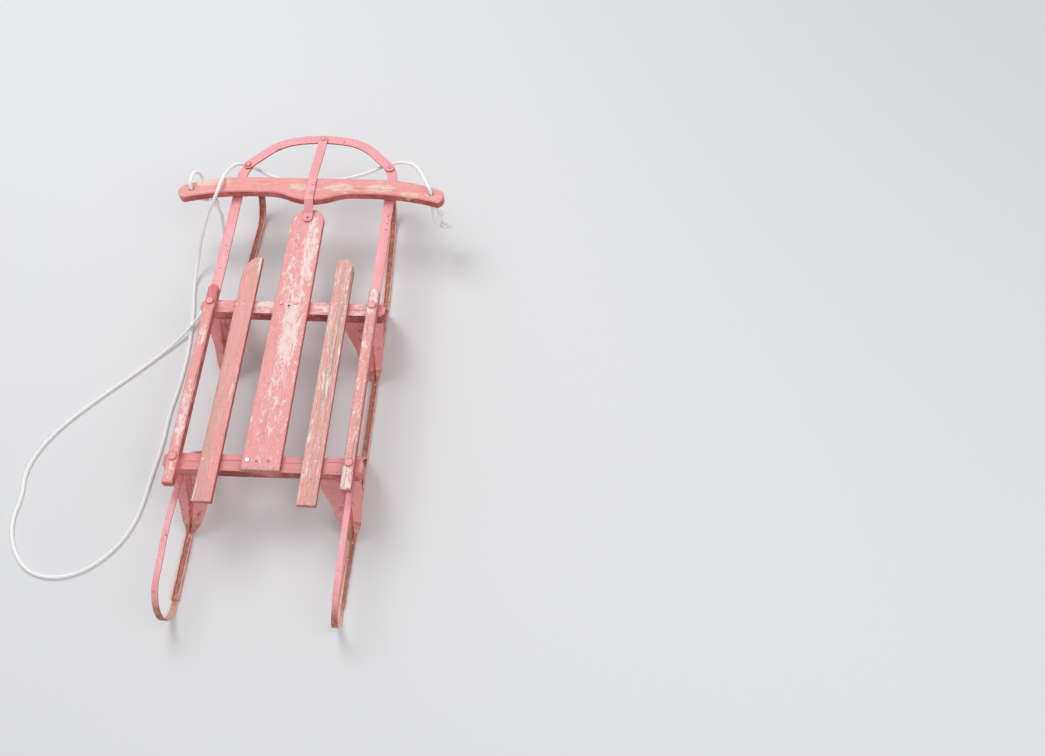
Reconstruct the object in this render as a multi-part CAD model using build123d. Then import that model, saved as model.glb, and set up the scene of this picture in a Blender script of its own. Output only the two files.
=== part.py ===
from build123d import *
import math
import os

os.makedirs("parts", exist_ok=True)

# Frame: millimetres, X to the rider's right, Y forward, Z up, runners on Z = 0,
# origin on the ground under the middle of the sled.

# Benches: the two wooden crosspieces
bench_len = 340.0
front_bench_wide = 26.0
rear_bench_wide = 30.0
bench_deep = 23.0
bench_bottom = 103.0
bench_top = bench_bottom + bench_deep
bench_corner = 7.0
front_bench_y = 72.5
rear_bench_y = -242.5

# Deck: centre board and two slats
deck_thick = 10.0
deck_top = bench_top + deck_thick
board_rear_y = -259.0
board_front_y = 294.0
board_front_wide = 61.0
board_rear_wide = 67.0
board_nose_radius = 26.0
slat_inner = 70.5
slat_wide = 33.0
slat_outer = slat_inner + slat_wide
slat_rear_y = -319.0
slat_front_y = 178.0
slat_tip_wide = 12.0
slat_tip_cut = 36.0

# Side rails
rail_inset = 21.0
rail_x = bench_len / 2 - rail_inset
rail_wide = 18.5
rail_deep = 16.5
rail_rear_y = -290.0
rail_front_y = 111.0
rail_top = bench_top + rail_deep
rail_rebate_gap = 0.2
rail_edge = 2.0

# Flat steel arms and bow
flat_thick = 3.2
arm_wide = 19.5
arm_rear_y = front_bench_y - 20.0
flex_y = 180.0
flex_round = 1.0
arm_bend_y = 376.0
arm_bend_radius = 60.0
arm_bend_turn = 30.0
bow_wide = 18.5
bow_apex_y = 475.5
bow_crown_radius = 280.0
bow_crown_turn = 10.0
bow_end_straight = 46.6

# Pins; every shank, head and small bore has the same number of sides
round_sides = 16
pin_r = 2.5
pin_fit = 0.05
slot_slack = 0.7
head_r = 5.0
head_high = 2.0
layer_gap = 0.3

# Runners: one grooved steel strip a side, toed in ahead of the flex
runner_inset = 5.0
runner_x = rail_x - runner_inset
runner_toe_in = 2.3
runner_wide = 13.0
runner_floor = 2.5
runner_wall = 2.0
runner_deep = 6.0
rear_loop_y = -435.75
rear_flange_end_y = -292.0
rear_tongue_end_y = rear_bench_y
tongue_eye_r = 8.0
front_loop_y = 345.0
front_tab_end_y = 322.0
hinge_gap = 0.5
cut_wide = 60.0
cut_long = 300.0

# Knees: pressed steel supports
knee_thick = 1.6
knee_spread = 78.0
knee_foot_long = 22.0
knee_foot_wide = 8.6
knee_saddle_long = 26.0
knee_lean = 5.0
knee_top_out = 21.0
knee_top_in = 57.0
knee_flank = 3.0
knee_block = 200.0
bead_deep = 2.2
bead_foot_wide = 3.0
bead_top_wide = 8.0
bead_top_in = 11.0
bead_wall = 1.5
bead_groove_up = 0.5

# Steering bar and strap
tongue_y = 271.0
bow_pin_y = 474.0
strap_wide = 17.0
bar_thick = 18.0
bar_bottom = 134.8
bar_top = bar_bottom + bar_thick
cord_hole_x = 233.0
cord_hole_y = 323.5
cord_hole_r = 4.5

bar_front_y = 358.4
bar_front_flat = 128.0
bar_front_sweep = 330.0
bar_rear_y = 322.0
bar_rear_flat = 118.0
bar_rear_sweep = 450.0
bar_belly_y = 304.0
bar_belly_half = 85.0
bar_shoulder_x = 246.0
bar_tip_x = 258.0
bar_edge = 2.0
board_edge = 1.2

# Tow rope
rope_r = 3.25
rope_bend = 0.45
rope_sides = 5
knot_r = 8.0

# Rail bolts
bolt_r = 3.0
bolt_head_r = 7.0
bolt_head_high = 2.6
nut_r = 5.5
nut_high = 4.5


def box(x0, x1, y0, y1, z0, z1):
    return Pos((x0 + x1) / 2, (y0 + y1) / 2, (z0 + z1) / 2) * Box(x1 - x0, y1 - y0, z1 - z0)


def rod(x, y, r, z0, z1):
    return Pos(x, y, (z0 + z1) / 2) * Cylinder(r, z1 - z0)


# Shanks and heads are many-sided prisms; a bore is the like prism drawn round its circle
def disc(x, y, r, z0, z1):
    return Pos(x, y, z0) * extrude(RegularPolygon(r, round_sides), amount=z1 - z0)


def bore(x, y, r, z0, z1):
    return Pos(x, y, z0) * extrude(RegularPolygon(r, round_sides, major_radius=False), amount=z1 - z0)


def hex_nut(x, y, z0):
    return Pos(x, y, z0) * extrude(RegularPolygon(nut_r, 6), amount=nut_high)


def prism(points, z0, z1):
    return Pos(0, 0, (z0 + z1) / 2) * extrude(Polygon(*points, align=None), amount=(z1 - z0) / 2, both=True)


def side_prism(points, x_mid, wide):
    face = Plane.YZ.offset(x_mid) * Polygon(*points, align=None)
    return extrude(face, amount=wide / 2, both=True)


def save(shape, name):
    shape.label = name
    export_step(shape, "parts/" + name + ".step")
    print(name, round(shape.volume), len(shape.solids()))


# Deck
def centre_board():
    f = board_front_wide / 2
    r = board_rear_wide / 2
    face = Polygon((-r, board_rear_y), (r, board_rear_y), (f, board_front_y), (-f, board_front_y), align=None)
    nose = face.vertices().group_by(Axis.Y)[-1]
    face = fillet(nose, board_nose_radius)
    solid = Pos(0, 0, bench_top) * extrude(face, amount=deck_thick)
    solid = chamfer(solid.faces().sort_by(Axis.Z)[-1].edges(), board_edge)
    return solid - bore(0, tongue_y, pin_r + pin_fit, bench_top - 1, deck_top + 1)


def slat(side):
    tip = slat_inner + slat_tip_wide
    points = (
        (side * slat_inner, slat_rear_y),
        (side * slat_outer, slat_rear_y),
        (side * slat_outer, slat_front_y - slat_tip_cut),
        (side * tip, slat_front_y),
        (side * slat_inner, slat_front_y),
    )
    solid = prism(points, bench_top, deck_top)
    return chamfer(solid.faces().sort_by(Axis.Z)[-1].edges(), board_edge)


def rail(side):
    x = side * rail_x
    half = rail_wide / 2
    solid = box(x - half, x + half, rail_rear_y, rail_front_y - half, bench_top, rail_top)
    solid += rod(x, rail_front_y - half, half, bench_top, rail_top)
    solid = chamfer(solid.faces().sort_by(Axis.Z)[-1].edges(), rail_edge)
    rebate = flat_thick + rail_rebate_gap
    solid -= box(x - 20, x + 20, arm_rear_y - 0.5, rail_front_y + 20, bench_top - 1, bench_top + rebate)
    for y in (front_bench_y, rear_bench_y):
        solid -= bore(x, y, bolt_r + pin_fit, bench_top - 1, rail_top + 1)
    return solid


def bench(y, wide):
    half = bench_len / 2
    solid = box(-half, half, y - wide / 2, y + wide / 2, bench_bottom, bench_top)
    solid = chamfer(solid.edges().filter_by(Axis.Z), bench_corner)
    for side in (-1, 1):
        solid -= bore(side * rail_x, y, bolt_r + pin_fit, bench_bottom - 1, bench_top + 1)
    return solid


# Runners
def band(s, y0, ya, r, t, ye):
    edges = [
        Line((y0, 0), (ya, 0)),
        ThreePointArc((ya, 0), (ya + s * r, r), (ya, 2 * r)),
        Line((ye, 2 * r), (ye, 2 * r - t)),
        ThreePointArc((ya, 2 * r - t), (ya + s * (r - t), r), (ya, t)),
        Line((ya, t), (y0, t)),
        Line((y0, t), (y0, 0)),
    ]
    if abs(ye - ya) > 0.01:
        edges.append(Line((ya, 2 * r), (ye, 2 * r)))
        edges.append(Line((ye, 2 * r - t), (ya, 2 * r - t)))
    return make_face(edges)


def strip(side, s, y0, ya, r, floor_end, flange_end):
    x = side * runner_x
    floor = Plane.YZ.offset(x - runner_wide / 2) * band(s, y0, ya, r, runner_floor, floor_end)
    solid = extrude(floor, amount=runner_wide)
    wall = band(s, y0, ya, r, runner_deep, flange_end)
    for start in (x - runner_wide / 2, x + runner_wide / 2 - runner_wall):
        solid += extrude(Plane.YZ.offset(start) * wall, amount=runner_wall)
    return solid


# The runner front and the arm turn about one upright axis, as far from the middle as the arm's pin
turn = math.radians(arm_bend_turn)
arm_pin_x = rail_x - arm_bend_radius * (1 - math.cos(turn))
arm_pin_y = arm_bend_y + arm_bend_radius * math.sin(turn)
flex_x = arm_pin_x
runner_flex_r = runner_x + runner_wide / 2 - flex_x + flex_round
arm_flex_r = rail_x + arm_wide / 2 - flex_x + flex_round


def ahead_of_flex(side, r, z0, z1):
    x = side * flex_x
    ahead = box(x - cut_wide, x + cut_wide, flex_y, flex_y + cut_long, z0, z1)
    return ahead + rod(x, flex_y, r, z0, z1)


def runner(side):
    solid = strip(side, -1, flex_y, rear_loop_y, bench_bottom / 2, rear_tongue_end_y, rear_flange_end_y)
    solid -= rod(side * flex_x, flex_y, runner_flex_r + hinge_gap, -1, runner_deep + 1)
    bolt_x = side * rail_x
    solid += disc(bolt_x, rear_bench_y, tongue_eye_r, bench_bottom - runner_floor, bench_bottom)
    return solid - bore(bolt_x, rear_bench_y, bolt_r + pin_fit, bench_bottom - 10, bench_bottom + 1)


def runner_front(side):
    start = flex_y - runner_flex_r
    x = side * runner_x
    solid = strip(side, 1, start, front_loop_y, bench_top / 2, front_tab_end_y, front_loop_y)
    solid = Pos(x, flex_y, 0) * Rot(0, 0, side * runner_toe_in) * Pos(-x, -flex_y, 0) * solid
    edge = side * (rail_x + arm_wide / 2)
    solid += box(min(edge, x), max(edge, x), front_tab_end_y, front_loop_y, bench_top - runner_floor, bench_top)
    return solid & ahead_of_flex(side, runner_flex_r, -1, bench_top + 1)


# Arms
def arm_root(side):
    x = side * rail_x
    half = arm_wide / 2
    top = bench_top + flat_thick
    solid = box(x - half, x + half, arm_rear_y, flex_y, bench_top, top)
    solid -= rod(side * flex_x, flex_y, arm_flex_r + hinge_gap, bench_top - 1, top + 1)
    return solid - bore(x, front_bench_y, bolt_r + pin_fit, bench_top - 1, top + 1)


def arm_edge(offset):
    cx = rail_x - arm_bend_radius
    r = arm_bend_radius + offset
    mid = turn / 2
    points = [
        (rail_x + offset, flex_y - arm_flex_r),
        (rail_x + offset, arm_bend_y),
        (cx + r * math.cos(mid), arm_bend_y + r * math.sin(mid)),
        (cx + r * math.cos(turn), arm_bend_y + r * math.sin(turn)),
    ]
    return points


def arm(side):
    half = arm_wide / 2
    outer = arm_edge(half)
    inner = arm_edge(-half)
    tip = (arm_pin_x - half * math.sin(turn), arm_pin_y + half * math.cos(turn))
    edges = [
        Line(outer[0], outer[1]),
        ThreePointArc(outer[1], outer[2], outer[3]),
        ThreePointArc(outer[3], tip, inner[3]),
        ThreePointArc(inner[3], inner[2], inner[1]),
        Line(inner[1], inner[0]),
        Line(inner[0], outer[0]),
    ]
    solid = Pos(0, 0, bench_top + flat_thick / 2) * extrude(make_face(edges), amount=flat_thick / 2, both=True)
    if side < 0:
        solid = mirror(solid, Plane.YZ)
    top = bench_top + flat_thick
    solid &= ahead_of_flex(side, arm_flex_r, bench_top - 1, top + 1)
    solid -= bore(side * arm_pin_x, arm_pin_y, pin_r + pin_fit, bench_top - 1, top + 1)
    return solid


# Bow: a crown arc, two side arcs and two straight ends that run tangent to the end pins
crown_turn = math.radians(bow_crown_turn)
crown_cy = bow_apex_y - bow_crown_radius
pin_ahead = arm_pin_x * math.sin(crown_turn) + (arm_pin_y - crown_cy) * math.cos(crown_turn)
pin_off = arm_pin_x**2 + (arm_pin_y - crown_cy)**2 + bow_crown_radius**2 - 2 * bow_crown_radius * pin_ahead
bow_side_radius = (pin_off - bow_end_straight**2) / (2 * (bow_crown_radius - pin_ahead))
side_cx = (bow_crown_radius - bow_side_radius) * math.sin(crown_turn)
side_cy = crown_cy + (bow_crown_radius - bow_side_radius) * math.cos(crown_turn)
pin_far = math.hypot(arm_pin_x - side_cx, arm_pin_y - side_cy)
pin_aim = math.atan2(arm_pin_x - side_cx, arm_pin_y - side_cy)
side_turn = pin_aim - math.acos(bow_side_radius / pin_far)
bow_bottom = bench_top + flat_thick + layer_gap
bow_top = bow_bottom + flat_thick


def bow_edge(offset):
    rc = bow_crown_radius + offset
    rs = bow_side_radius + offset
    mid = (crown_turn + side_turn) / 2
    return [
        (0, crown_cy + rc),
        (rc * math.sin(crown_turn), crown_cy + rc * math.cos(crown_turn)),
        (side_cx + rs * math.sin(mid), side_cy + rs * math.cos(mid)),
        (side_cx + rs * math.sin(side_turn), side_cy + rs * math.cos(side_turn)),
        (arm_pin_x + offset * math.sin(side_turn), arm_pin_y + offset * math.cos(side_turn)),
    ]


def bow():
    half = bow_wide / 2
    edges = []
    for offset in (half, -half):
        apex, p1, p2, p3, p4 = bow_edge(offset)
        edges.append(ThreePointArc((-p1[0], p1[1]), apex, p1))
        for sx in (-1, 1):
            edges.append(ThreePointArc((sx * p1[0], p1[1]), (sx * p2[0], p2[1]), (sx * p3[0], p3[1])))
            edges.append(Line((sx * p3[0], p3[1]), (sx * p4[0], p4[1])))
    out = bow_edge(half)[-1]
    inn = bow_edge(-half)[-1]
    tip = (arm_pin_x + half * math.cos(side_turn), arm_pin_y - half * math.sin(side_turn))
    for sx in (-1, 1):
        edges.append(ThreePointArc((sx * out[0], out[1]), (sx * tip[0], tip[1]), (sx * inn[0], inn[1])))
    solid = Pos(0, 0, bow_bottom + flat_thick / 2) * extrude(make_face(edges), amount=flat_thick / 2, both=True)
    for sx in (-1, 1):
        solid -= bore(sx * arm_pin_x, arm_pin_y, pin_r + pin_fit, bow_bottom - 1, bow_top + 1)
    return solid - bore(0, bow_pin_y, pin_r + pin_fit, bow_bottom - 1, bow_top + 1)


def bow_end_rivet(side):
    x = side * arm_pin_x
    solid = disc(x, arm_pin_y, pin_r, bench_top - head_high, bow_top + layer_gap + head_high)
    solid += disc(x, arm_pin_y, head_r, bow_top + layer_gap, bow_top + layer_gap + head_high)
    return solid + disc(x, arm_pin_y, head_r, bench_top - head_high, bench_top)


# Strap and steering bar
strap_nose_bottom = bow_top + layer_gap
strap_tail_bottom = deck_top + layer_gap


def strap():
    t = flat_thick
    lower = [
        (tongue_y - strap_wide / 2, strap_tail_bottom),
        (tongue_y + strap_wide / 2 + 2, strap_tail_bottom),
        (bar_belly_y - 2, bar_top),
        (bar_front_y + 3, bar_top),
        (bow_pin_y - 16, strap_nose_bottom),
        (bow_pin_y + strap_wide / 2, strap_nose_bottom),
    ]
    points = lower + [(y, z + t) for y, z in reversed(lower)]
    solid = side_prism(points, 0, strap_wide)
    half = strap_wide / 2
    plan = Pos(0, (tongue_y + bow_pin_y) / 2) * SlotCenterToCenter(bow_pin_y - tongue_y, strap_wide, rotation=90)
    solid &= Pos(0, 0, deck_top - 5) * extrude(plan, amount=60)
    solid -= bore(0, tongue_y, pin_r + pin_fit, deck_top - 1, bar_top + 20)
    slot = Pos(0, bow_pin_y) * SlotCenterToCenter(2 * slot_slack, 2 * (pin_r + pin_fit), rotation=90)
    return solid - Pos(0, 0, bow_top - 1) * extrude(slot, amount=30)


def bow_pin():
    top = strap_nose_bottom + flat_thick + layer_gap
    solid = disc(0, bow_pin_y, pin_r, bow_bottom - head_high, top + head_high)
    solid += disc(0, bow_pin_y, head_r, top, top + head_high)
    return solid + disc(0, bow_pin_y, head_r - 0.8, bow_bottom - head_high, bow_bottom)


def tongue_bolt():
    top = strap_tail_bottom + flat_thick + layer_gap
    solid = disc(0, tongue_y, pin_r, bench_top - nut_high, top + head_high)
    solid += disc(0, tongue_y, head_r, top, top + head_high)
    return solid + hex_nut(0, tongue_y, bench_top - nut_high)


def steering_bar():
    front_drop = bar_front_sweep * (1 - math.cos(math.asin((bar_shoulder_x - bar_front_flat) / bar_front_sweep)))
    rear_drop = bar_rear_sweep * (1 - math.cos(math.asin((bar_shoulder_x - bar_rear_flat) / bar_rear_sweep)))
    f2 = (bar_shoulder_x, bar_front_y - front_drop)
    r2 = (bar_shoulder_x, bar_rear_y - rear_drop)
    tip = (bar_tip_x, (f2[1] + r2[1]) / 2)
    belly = ((bar_belly_half / 2), (bar_rear_y + bar_belly_y) / 2)
    edges = [Line((-bar_front_flat, bar_front_y), (bar_front_flat, bar_front_y))]
    for sx in (-1, 1):
        f1 = (sx * bar_front_flat, bar_front_y)
        r1 = (sx * bar_rear_flat, bar_rear_y)
        b1 = (sx * bar_belly_half, bar_rear_y)
        fx = (sx * f2[0], f2[1])
        rx = (sx * r2[0], r2[1])
        mid = (sx * belly[0], belly[1])
        edges += [
            TangentArc(f1, fx, tangent=(sx, 0)),
            TangentArc(r1, rx, tangent=(sx, 0)),
            ThreePointArc(fx, (sx * tip[0], tip[1]), rx),
            Line(r1, b1),
            TangentArc(b1, mid, tangent=(-sx, 0)),
            TangentArc((0, bar_belly_y), mid, tangent=(sx, 0)),
        ]
    solid = Pos(0, 0, bar_bottom + bar_thick / 2) * extrude(make_face(edges), amount=bar_thick / 2, both=True)
    rims = solid.faces().group_by(Axis.Z)
    solid = chamfer(rims[0].edges() + rims[-1].edges(), bar_edge)
    for side in (-1, 1):
        solid -= bore(side * cord_hole_x, cord_hole_y, cord_hole_r, bar_bottom - 1, bar_top + 1)
    return solid


# Knees: a folded strip in side view, cut to its outline in front view, with a pressed bead down each leg
def knee_fold(y, top, rise):
    half = knee_saddle_long / 2
    foot = knee_spread
    low = runner_floor
    lower = [
        (-foot - knee_foot_long / 2, low),
        (-foot + knee_foot_long / 2 - knee_lean, low),
        (-half, top - knee_thick),
        (half, top - knee_thick),
        (foot - knee_foot_long / 2 + knee_lean, low),
        (foot + knee_foot_long / 2, low),
    ]
    lean_rise = rise * 1.28
    upper = [
        (foot + knee_foot_long / 2, low + rise),
        (foot - knee_foot_long / 2 + knee_lean + lean_rise, low + rise),
        (half + lean_rise, top - knee_thick + rise),
        (-half - lean_rise, top - knee_thick + rise),
        (-foot + knee_foot_long / 2 - knee_lean - lean_rise, low + rise),
        (-foot - knee_foot_long / 2, low + rise),
    ]
    return [(y + a, b) for a, b in lower + upper]


def front_prism(points, x, y, side):
    face = Polygon(*[(x + side * a, b) for a, b in points], align=None)
    return extrude(Pos(0, y, 0) * (Plane.XZ * face), amount=150, both=True)


def bead_band(x, y, side, top, narrower):
    low = runner_floor + 2 * bead_deep
    high = top - knee_thick - bead_deep
    foot = bead_foot_wide / 2 - narrower / 2
    crown = bead_top_wide / 2 - narrower
    points = ((-foot, low), (foot, low), (crown - bead_top_in, high), (-crown - bead_top_in, high))
    return front_prism(points, x, y, side)


def knee(side, y, top):
    x = side * runner_x
    f = knee_foot_wide / 2
    out = knee_top_out
    inn = knee_top_in
    outline = (
        (-f, 0),
        (f, 0),
        (f, top * 0.10),
        (out * 0.52, top * 0.21),
        (out * 0.69, top * 0.31),
        (out * 0.81, top * 0.58),
        (out, top + layer_gap),
        (-inn, top + layer_gap),
        (-inn, top * 0.95),
        (-inn * 0.63, top * 0.56),
        (-inn * 0.40, top * 0.29),
        (-f - knee_flank, top * 0.15),
        (-f, top * 0.09),
    )
    solid = side_prism(knee_fold(y, top, knee_thick), x, knee_block) & front_prism(outline, x, y, side)
    bead = Pos(0, 0, -bead_deep) * side_prism(knee_fold(y, top, knee_thick + bead_deep), x, knee_block)
    solid += bead & bead_band(x, y, side, top, 0)
    groove = Pos(0, 0, bead_groove_up) * side_prism(knee_fold(y, top, knee_thick), x, knee_block)
    solid -= groove & bead_band(x, y, side, top, bead_wall)
    return solid - bore(side * rail_x, y, bolt_r + pin_fit, top - 10, top + 1)


def rail_bolt(side, y, low, high):
    x = side * rail_x
    solid = disc(x, y, bolt_r, low - nut_high, high + bolt_head_high)
    solid += disc(x, y, bolt_head_r, high, high + bolt_head_high)
    return solid + hex_nut(x, y, low - nut_high)


# Tow rope: routes in X, Y, Z. The first tube rides on the bar, from the knot under its right hole to behind its
# left end; the second lies on the ground; the third ends in the loop round the left end of the bar.
ROPE_BAR = (
    (255.0, 315.0, 69.0),
    (244.5, 312.5, 72.0),
    (237.0, 312.5, 81.0),
    (233.5, 314.5, 97.0),
    (233.5, 319.5, 115.0),
    (233.0, 323.5, 134.0),
    (233.0, 323.5, 150.0),
    (232.5, 325.0, 161.0),
    (228.5, 330.5, 166.0),
    (220.5, 348.5, 163.0),
    (209.0, 376.5, 152.0),
    (195.0, 405.0, 137.0),
    (177.0, 427.5, 122.0),
    (156.0, 437.0, 113.5),
    (128.0, 431.5, 110.0),
    (90.0, 410.0, 107.0),
    (39.0, 394.5, 105.0),
    (-30.0, 386.0, 104.0),
    (-92.0, 396.0, 105.0),
    (-127.0, 413.0, 108.5),
    (-153.5, 424.5, 111.5),
    (-171.0, 423.0, 114.5),
    (-179.0, 407.0, 121.5),
    (-175.5, 376.0, 144.0),
    (-172.5, 348.5, 162.0),
    (-174.5, 328.5, 163.5),
    (-178.5, 311.5, 158.5),
    (-190.0, 301.0, 141.0),
    (-207.0, 294.0, 111.0),
    (-219.4, 278.6, 83.3),
)
ROPE_GROUND = (
    (-219.5, 278.5, 83.0),
    (-228.2, 267.7, 63.6),
    (-237.0, 254.0, 35.0),
    (-244.0, 227.0, 12.0),
    (-245.0, 193.0, 3.4),
    (-235.0, 148.0, 3.3),
    (-229.0, 98.0, 3.3),
    (-224.0, 40.0, 3.3),
    (-225.0, -25.0, 3.3),
    (-232.0, -93.0, 3.3),
    (-230.0, -150.0, 3.3),
    (-236.0, -215.0, 3.3),
    (-240.0, -285.0, 3.3),
    (-257.0, -341.0, 3.3),
    (-297.0, -390.0, 3.3),
    (-351.0, -416.0, 3.3),
    (-411.0, -408.0, 3.3),
    (-451.0, -363.0, 3.3),
    (-467.0, -311.0, 3.3),
    (-461.0, -268.0, 3.3),
    (-470.0, -218.0, 3.3),
    (-456.0, -169.0, 3.3),
    (-427.0, -121.0, 3.3),
    (-379.0, -67.0, 3.3),
    (-322.0, -10.0, 3.3),
    (-272.0, 43.0, 3.6),
    (-246.0, 73.0, 8.0),
    (-228.0, 99.0, 12.0),
    (-217.0, 129.0, 7.0),
    (-210.0, 168.0, 3.5),
    (-205.0, 214.0, 3.4),
    (-202.0, 254.0, 3.8),
    (-197.0, 281.0, 15.0),
    (-191.5, 295.0, 41.0),
    (-189.0, 305.0, 71.0),
)
ROPE_LEFT = (
    (-189.0, 305.1, 71.3),
    (-187.7, 310.2, 86.6),
    (-190.5, 317.0, 103.0),
    (-195.0, 323.0, 117.0),
    (-200.0, 331.0, 126.0),
    (-211.0, 345.0, 128.5),
    (-221.0, 361.0, 129.5),
    (-226.0, 369.5, 138.0),
    (-229.0, 367.5, 152.0),
    (-231.0, 358.0, 162.0),
    (-232.2, 344.0, 166.0),
    (-232.8, 330.0, 165.5),
    (-233.0, 324.0, 156.5),
    (-233.0, 323.5, 144.0),
    (-232.5, 323.5, 132.5),
    (-228.5, 323.0, 127.0),
    (-218.0, 322.0, 125.5),
    (-207.0, 322.5, 121.0),
)
RIGHT_KNOT = (248.0, 317.5, 99.0)
RIGHT_TAIL_TOP = (238.5, 322.0, 129.0)
LEFT_KNOT = (-195.5, 322.0, 116.0)


def rope(name, route):
    points = [Vector(*p) for p in route]
    runs = [b - a for a, b in zip(points, points[1:])]
    radii = []
    for before, after in zip(runs, runs[1:]):
        half_turn = math.radians(before.get_angle(after)) / 2
        radii.append(rope_bend * min(before.length, after.length) / math.tan(half_turn))
    path = FilletPolyline(*route, radius=radii)
    same_area_r = rope_r * math.sqrt(2 * math.pi / (rope_sides * math.sin(2 * math.pi / rope_sides)))
    section = Plane(origin=route[0], z_dir=runs[0]) * RegularPolygon(same_area_r, rope_sides)
    solid = sweep(section, path=path)
    print(name, "length", round(path.length, 1), "radii", [round(r) for r in radii])
    print(name, "volume share", round(solid.volume / (math.pi * rope_r**2 * path.length), 4))
    return solid


def knot_lump(x, y, z, r):
    lump = Pos(0, 0, -r) * extrude(RegularPolygon(r, 8), amount=2 * r)
    rims = lump.faces().sort_by(Axis.Z)
    return Pos(x, y, z) * chamfer(rims[0].edges() + rims[-1].edges(), r * 0.45)


def knot_link(a, b, r):
    run = Vector(*b) - Vector(*a)
    return extrude(Plane(origin=a, z_dir=run) * RegularPolygon(r, 8), amount=run.length)


# The free end goes up from the double end knot, past a small knot, to the rope under the right hole
def right_knots():
    x, y, z = ROPE_BAR[0]
    end = (x + knot_r, y + 3, z + 2)
    solid = knot_lump(x, y, z, knot_r) + knot_lump(*end, knot_r - 0.5)
    solid += knot_link((x + 1, y, z), RIGHT_KNOT, rope_r * 1.3)
    solid += knot_lump(*RIGHT_KNOT, knot_r - 2)
    return solid + knot_link(RIGHT_KNOT, RIGHT_TAIL_TOP, rope_r)


SIDES = (("left", -1), ("right", 1))
rear_knee_top = bench_bottom - runner_floor

save(centre_board(), "centre_board")
save(bench(front_bench_y, front_bench_wide), "front_bench")
save(bench(rear_bench_y, rear_bench_wide), "rear_bench")
save(bow(), "bow")
save(strap(), "strap")
save(steering_bar(), "steering_bar")
save(bow_pin(), "bow_pin")
save(tongue_bolt(), "tongue_bolt")
for word, side in SIDES:
    save(slat(side), word + "_slat")
    save(rail(side), word + "_rail")
    save(runner(side), word + "_runner")
    save(runner_front(side), word + "_runner_front")
    save(arm_root(side), word + "_arm_root")
    save(arm(side), word + "_arm")
    save(bow_end_rivet(side), word + "_bow_rivet")
    save(knee(side, front_bench_y, bench_bottom), word + "_front_knee")
    save(knee(side, rear_bench_y, rear_knee_top), word + "_rear_knee")
    save(rail_bolt(side, front_bench_y, bench_bottom - knee_thick, rail_top), word + "_front_bolt")
    save(rail_bolt(side, rear_bench_y, rear_knee_top - knee_thick, rail_top), word + "_rear_bolt")

save(rope("rope_on_bar", ROPE_BAR), "rope_on_bar")
save(rope("rope_on_ground", ROPE_GROUND), "rope_on_ground")
save(rope("rope_left_loop", ROPE_LEFT), "rope_left_loop")
save(right_knots(), "rope_right_knots")
save(knot_lump(*LEFT_KNOT, knot_r - 1.5), "rope_left_knot")
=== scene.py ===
import bpy
import math
from mathutils import Matrix, Vector


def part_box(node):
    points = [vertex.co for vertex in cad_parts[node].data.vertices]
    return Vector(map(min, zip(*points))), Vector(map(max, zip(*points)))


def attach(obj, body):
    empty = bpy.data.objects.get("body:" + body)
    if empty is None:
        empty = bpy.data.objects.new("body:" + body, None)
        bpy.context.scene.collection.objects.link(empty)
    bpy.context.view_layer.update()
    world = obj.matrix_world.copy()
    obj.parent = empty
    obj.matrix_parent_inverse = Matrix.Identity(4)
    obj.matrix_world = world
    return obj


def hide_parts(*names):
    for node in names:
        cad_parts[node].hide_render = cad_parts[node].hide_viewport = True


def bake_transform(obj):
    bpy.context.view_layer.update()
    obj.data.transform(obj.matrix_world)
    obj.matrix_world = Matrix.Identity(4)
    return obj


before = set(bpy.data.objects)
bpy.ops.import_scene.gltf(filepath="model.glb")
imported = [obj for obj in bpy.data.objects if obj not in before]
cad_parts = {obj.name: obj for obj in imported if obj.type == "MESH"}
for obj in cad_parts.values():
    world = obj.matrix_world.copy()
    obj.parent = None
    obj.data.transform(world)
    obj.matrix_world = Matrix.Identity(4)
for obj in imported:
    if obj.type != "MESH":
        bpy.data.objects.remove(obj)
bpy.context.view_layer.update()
MM = 0.001
ORIGIN = (0, 0, 0)
SIDES = (("left", -1), ("right", 1))

# Camera: the photograph's place and aim
EYE = Vector((0.5266, -1.0109, 1.755))
DIP = math.radians(59.6)
SWING = math.radians(-5.935)
ROLL = math.radians(-3.345)
LENS_WIDTHS = 1083.7 / 1045
SENSOR = 36.0


def add_object(name, data):
    made = bpy.data.objects.new(name, data)
    bpy.context.scene.collection.objects.link(made)
    return made


def add_camera():
    aim = Vector((math.sin(SWING) * math.cos(DIP), math.cos(SWING) * math.cos(DIP), -math.sin(DIP)))
    level = Vector((math.cos(SWING), -math.sin(SWING), 0))
    above = level.cross(aim)
    right = level * math.cos(ROLL) + above * math.sin(ROLL)
    up = above * math.cos(ROLL) - level * math.sin(ROLL)
    camera = add_object("camera", bpy.data.cameras.new("camera"))
    turn = Matrix((right, up, -aim)).transposed()
    camera.matrix_world = Matrix.Translation(EYE) @ turn.to_4x4()
    camera.data.sensor_width = SENSOR
    camera.data.lens = SENSOR * LENS_WIDTHS
    camera.data.clip_start = 0.01
    bpy.context.scene.camera = camera


add_camera()


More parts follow.
